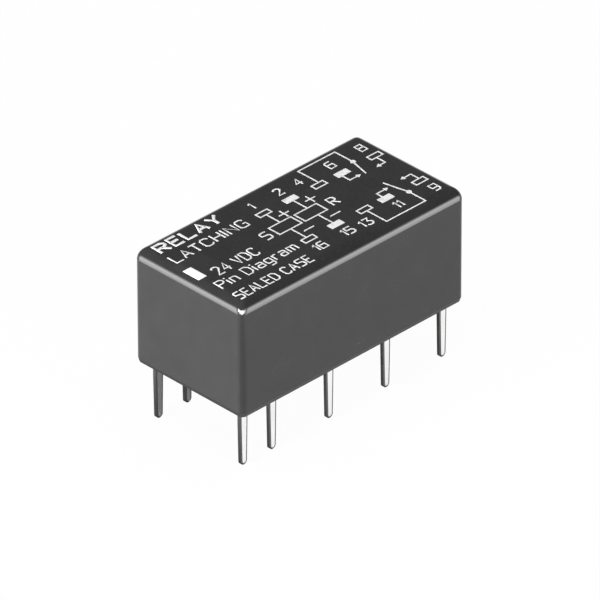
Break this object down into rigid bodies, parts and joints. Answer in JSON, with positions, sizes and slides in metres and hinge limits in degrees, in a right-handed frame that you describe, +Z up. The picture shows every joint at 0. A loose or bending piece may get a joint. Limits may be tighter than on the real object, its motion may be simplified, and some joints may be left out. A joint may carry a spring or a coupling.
{
  "type": "signal relay",
  "caption": "Sealed latching signal relay: black moulded case with rounded top edges and flat pins on a 2.54 mm grid, holding two windings and a swinging armature.",
  "frame": {"origin": "middle of the case's bottom rim, where the relay seats on a board", "axes": "+Z up through the printed top, +X from the coil terminals to the contact terminals, +Y to the row of terminals 1, 2, 4, 6 and 8"},
  "size_m": [0.0198, 0.0098, 0.0127],
  "materials": {
    "case_plastic": "fine satin moulding",
    "base_plastic": "satin moulding",
    "sealing_epoxy": "poured and cured",
    "bobbin_plastic": "satin moulding",
    "holder_plastic": "satin moulding",
    "copper_wire": "enamelled",
    "soft_iron": "annealed",
    "magnet": "ground",
    "spring_bronze": "rolled",
    "contact_silver": "polished",
    "tinned_strip": "bright tin",
    "top_print": "pad print"
  },
  "bodies": {
    "housing": {"cover": "case_plastic", "base": "base_plastic", "sealing_resin": "sealing_epoxy", "bobbin": "bobbin_plastic", "set_winding": "copper_wire", "reset_winding": "copper_wire", "core": "soft_iron", "fixed_contact_6": "contact_silver", "fixed_contact_8": "contact_silver", "fixed_contact_9": "contact_silver", "fixed_contact_11": "contact_silver", "terminal_1": "tinned_strip", "terminal_2": "tinned_strip", "terminal_4": "tinned_strip", "terminal_6": "tinned_strip", "terminal_8": "tinned_strip", "terminal_9": "tinned_strip", "terminal_11": "tinned_strip", "terminal_13": "tinned_strip", "terminal_15": "tinned_strip", "terminal_16": "tinned_strip"},
    "armature": {"armature_holder": "holder_plastic", "front_armature_plate": "soft_iron", "rear_armature_plate": "soft_iron", "armature_magnet": "magnet"},
    "rear_spring": {"contact_spring_4": "spring_bronze", "moving_contacts_4": "contact_silver"},
    "front_spring": {"contact_spring_13": "spring_bronze", "moving_contacts_13": "contact_silver"}
  },
  "joints": [
    {"name": "armature_pivot", "type": "hinge", "parent": "housing", "child": "armature", "pos_m": [0, 0, 0.00615], "axis": [0, 0, 1], "range_deg": [0, 4]},
    {"name": "rear_spring_flex", "type": "hinge", "parent": "housing", "child": "rear_spring", "pos_m": [-0.00082, 0.00366, 0.004], "axis": [0, 0, 1], "range_deg": [0, 3.38]},
    {"name": "front_spring_flex", "type": "hinge", "parent": "housing", "child": "front_spring", "pos_m": [-0.00082, -0.00358, 0.004], "axis": [0, 0, 1], "range_deg": [0, 3.38]}
  ],
  "couplings": [
    {"joint": "rear_spring_flex", "follows": "armature_pivot", "ratio": 0.84321},
    {"joint": "front_spring_flex", "follows": "armature_pivot", "ratio": 0.84321}
  ]
}
